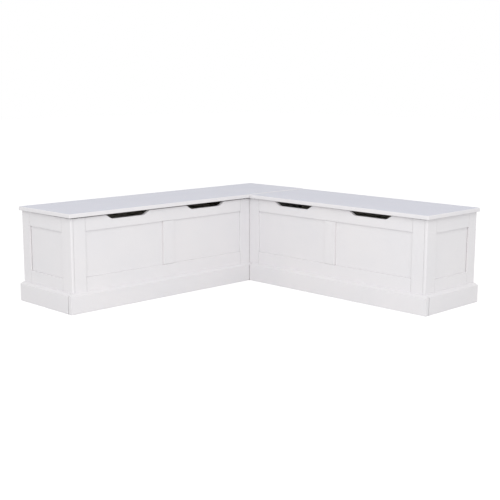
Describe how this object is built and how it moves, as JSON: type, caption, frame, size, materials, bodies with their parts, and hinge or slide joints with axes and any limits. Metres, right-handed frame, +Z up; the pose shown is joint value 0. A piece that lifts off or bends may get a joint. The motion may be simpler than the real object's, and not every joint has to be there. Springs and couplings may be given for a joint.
{
  "type": "corner storage bench",
  "caption": "L-shaped corner bench of painted timber: framed and panelled boxes with hinged lift-up lids, hand holes and a plinth.",
  "frame": {"origin": "on the floor, under the middle of the square that the L fits in", "axes": "+Z up. The room corner is at +X +Y: the long bench runs along X with its back to +Y, and the short bench runs along Y with its back to +X."},
  "size_m": [1.531, 1.531, 0.4524],
  "materials": {
    "frame_paint": "satin",
    "lid_paint": "satin",
    "inner_board": "matte",
    "hinge_steel": "satin",
    "stay_steel": "satin",
    "rubber": "matte"
  },
  "bodies": {
    "carcass": {"long_front_end_stile": "frame_paint", "long_front_inner_stile": "frame_paint", "long_front_muntin": "frame_paint", "long_front_top_rail": "frame_paint", "long_front_bottom_rail": "frame_paint", "long_front_outer_panel": "frame_paint", "long_front_inner_panel": "frame_paint", "long_end_front_stile": "frame_paint", "long_end_rear_stile": "frame_paint", "long_end_top_rail": "frame_paint", "long_end_bottom_rail": "frame_paint", "long_end_panel": "frame_paint", "long_plinth_front": "frame_paint", "long_plinth_end": "frame_paint", "long_corner_end_board": "frame_paint", "long_front_corner_board": "frame_paint", "long_back_board": "inner_board", "long_hinge_rail": "inner_board", "long_floor_board": "inner_board", "long_buffer_end": "rubber", "long_buffer_inner": "rubber", "long_hinge_box_leaf": "hinge_steel", "long_hinge_pin": "hinge_steel", "long_stay_wall_plate": "stay_steel", "short_front_end_stile": "frame_paint", "short_front_inner_stile": "frame_paint", "short_front_muntin": "frame_paint", "short_front_top_rail": "frame_paint", "short_front_bottom_rail": "frame_paint", "short_front_outer_panel": "frame_paint", "short_front_inner_panel": "frame_paint", "short_end_front_stile": "frame_paint", "short_end_rear_stile": "frame_paint", "short_end_top_rail": "frame_paint", "short_end_bottom_rail": "frame_paint", "short_end_panel": "frame_paint", "short_plinth_front": "frame_paint", "short_plinth_end": "frame_paint", "short_inner_end_board": "frame_paint", "short_back_board": "inner_board", "short_hinge_rail": "inner_board", "short_floor_board": "inner_board", "short_buffer_end": "rubber", "short_buffer_inner": "rubber", "short_hinge_box_leaf": "hinge_steel", "short_hinge_pin": "hinge_steel", "short_stay_wall_plate": "stay_steel", "joining_bolt_rear": "stay_steel", "joining_bolt_front": "stay_steel"},
    "long_lid": {"long_lid": "lid_paint", "long_hinge_lid_leaf": "hinge_steel", "long_stay_lid_bracket": "stay_steel"},
    "long_stay_lower": {"long_stay_lower_arm": "stay_steel"},
    "long_stay_upper": {"long_stay_upper_arm": "stay_steel"},
    "short_lid": {"short_lid": "lid_paint", "short_hinge_lid_leaf": "hinge_steel", "short_stay_lid_bracket": "stay_steel"},
    "short_stay_lower": {"short_stay_lower_arm": "stay_steel"},
    "short_stay_upper": {"short_stay_upper_arm": "stay_steel"}
  },
  "joints": [
    {"name": "long_lid_hinge", "type": "hinge", "parent": "carcass", "child": "long_lid", "pos_m": [0.003, 0.7623, 0.4283], "axis": [-1, 0, 0], "range_deg": [0, 80]},
    {"name": "short_lid_hinge", "type": "hinge", "parent": "carcass", "child": "short_lid", "pos_m": [0.7623, -0.206, 0.4283], "axis": [0, 1, 0], "range_deg": [0, 80]},
    {"name": "long_stay_lower_pivot", "type": "hinge", "parent": "carcass", "child": "long_stay_lower", "pos_m": [-0.7206, 0.7243, 0.3083], "axis": [-1, 0, 0], "range_deg": [0, 80]},
    {"name": "long_stay_upper_pivot", "type": "hinge", "parent": "long_lid", "child": "long_stay_upper", "pos_m": [-0.717, 0.61222, 0.41517], "axis": [-1, 0, 0], "range_deg": [-80, 0]},
    {"name": "short_stay_lower_pivot", "type": "hinge", "parent": "carcass", "child": "short_stay_lower", "pos_m": [0.7243, -0.7206, 0.3083], "axis": [0, 1, 0], "range_deg": [0, 80]},
    {"name": "short_stay_upper_pivot", "type": "hinge", "parent": "short_lid", "child": "short_stay_upper", "pos_m": [0.61229, -0.717, 0.41437], "axis": [0, 1, 0], "range_deg": [-80, 0]}
  ],
  "couplings": [
    {"joint": "long_stay_lower_pivot", "follows": "long_lid_hinge", "ratio": 1},
    {"joint": "long_stay_upper_pivot", "follows": "long_lid_hinge", "ratio": -1},
    {"joint": "short_stay_lower_pivot", "follows": "short_lid_hinge", "ratio": 1},
    {"joint": "short_stay_upper_pivot", "follows": "short_lid_hinge", "ratio": -1}
  ]
}
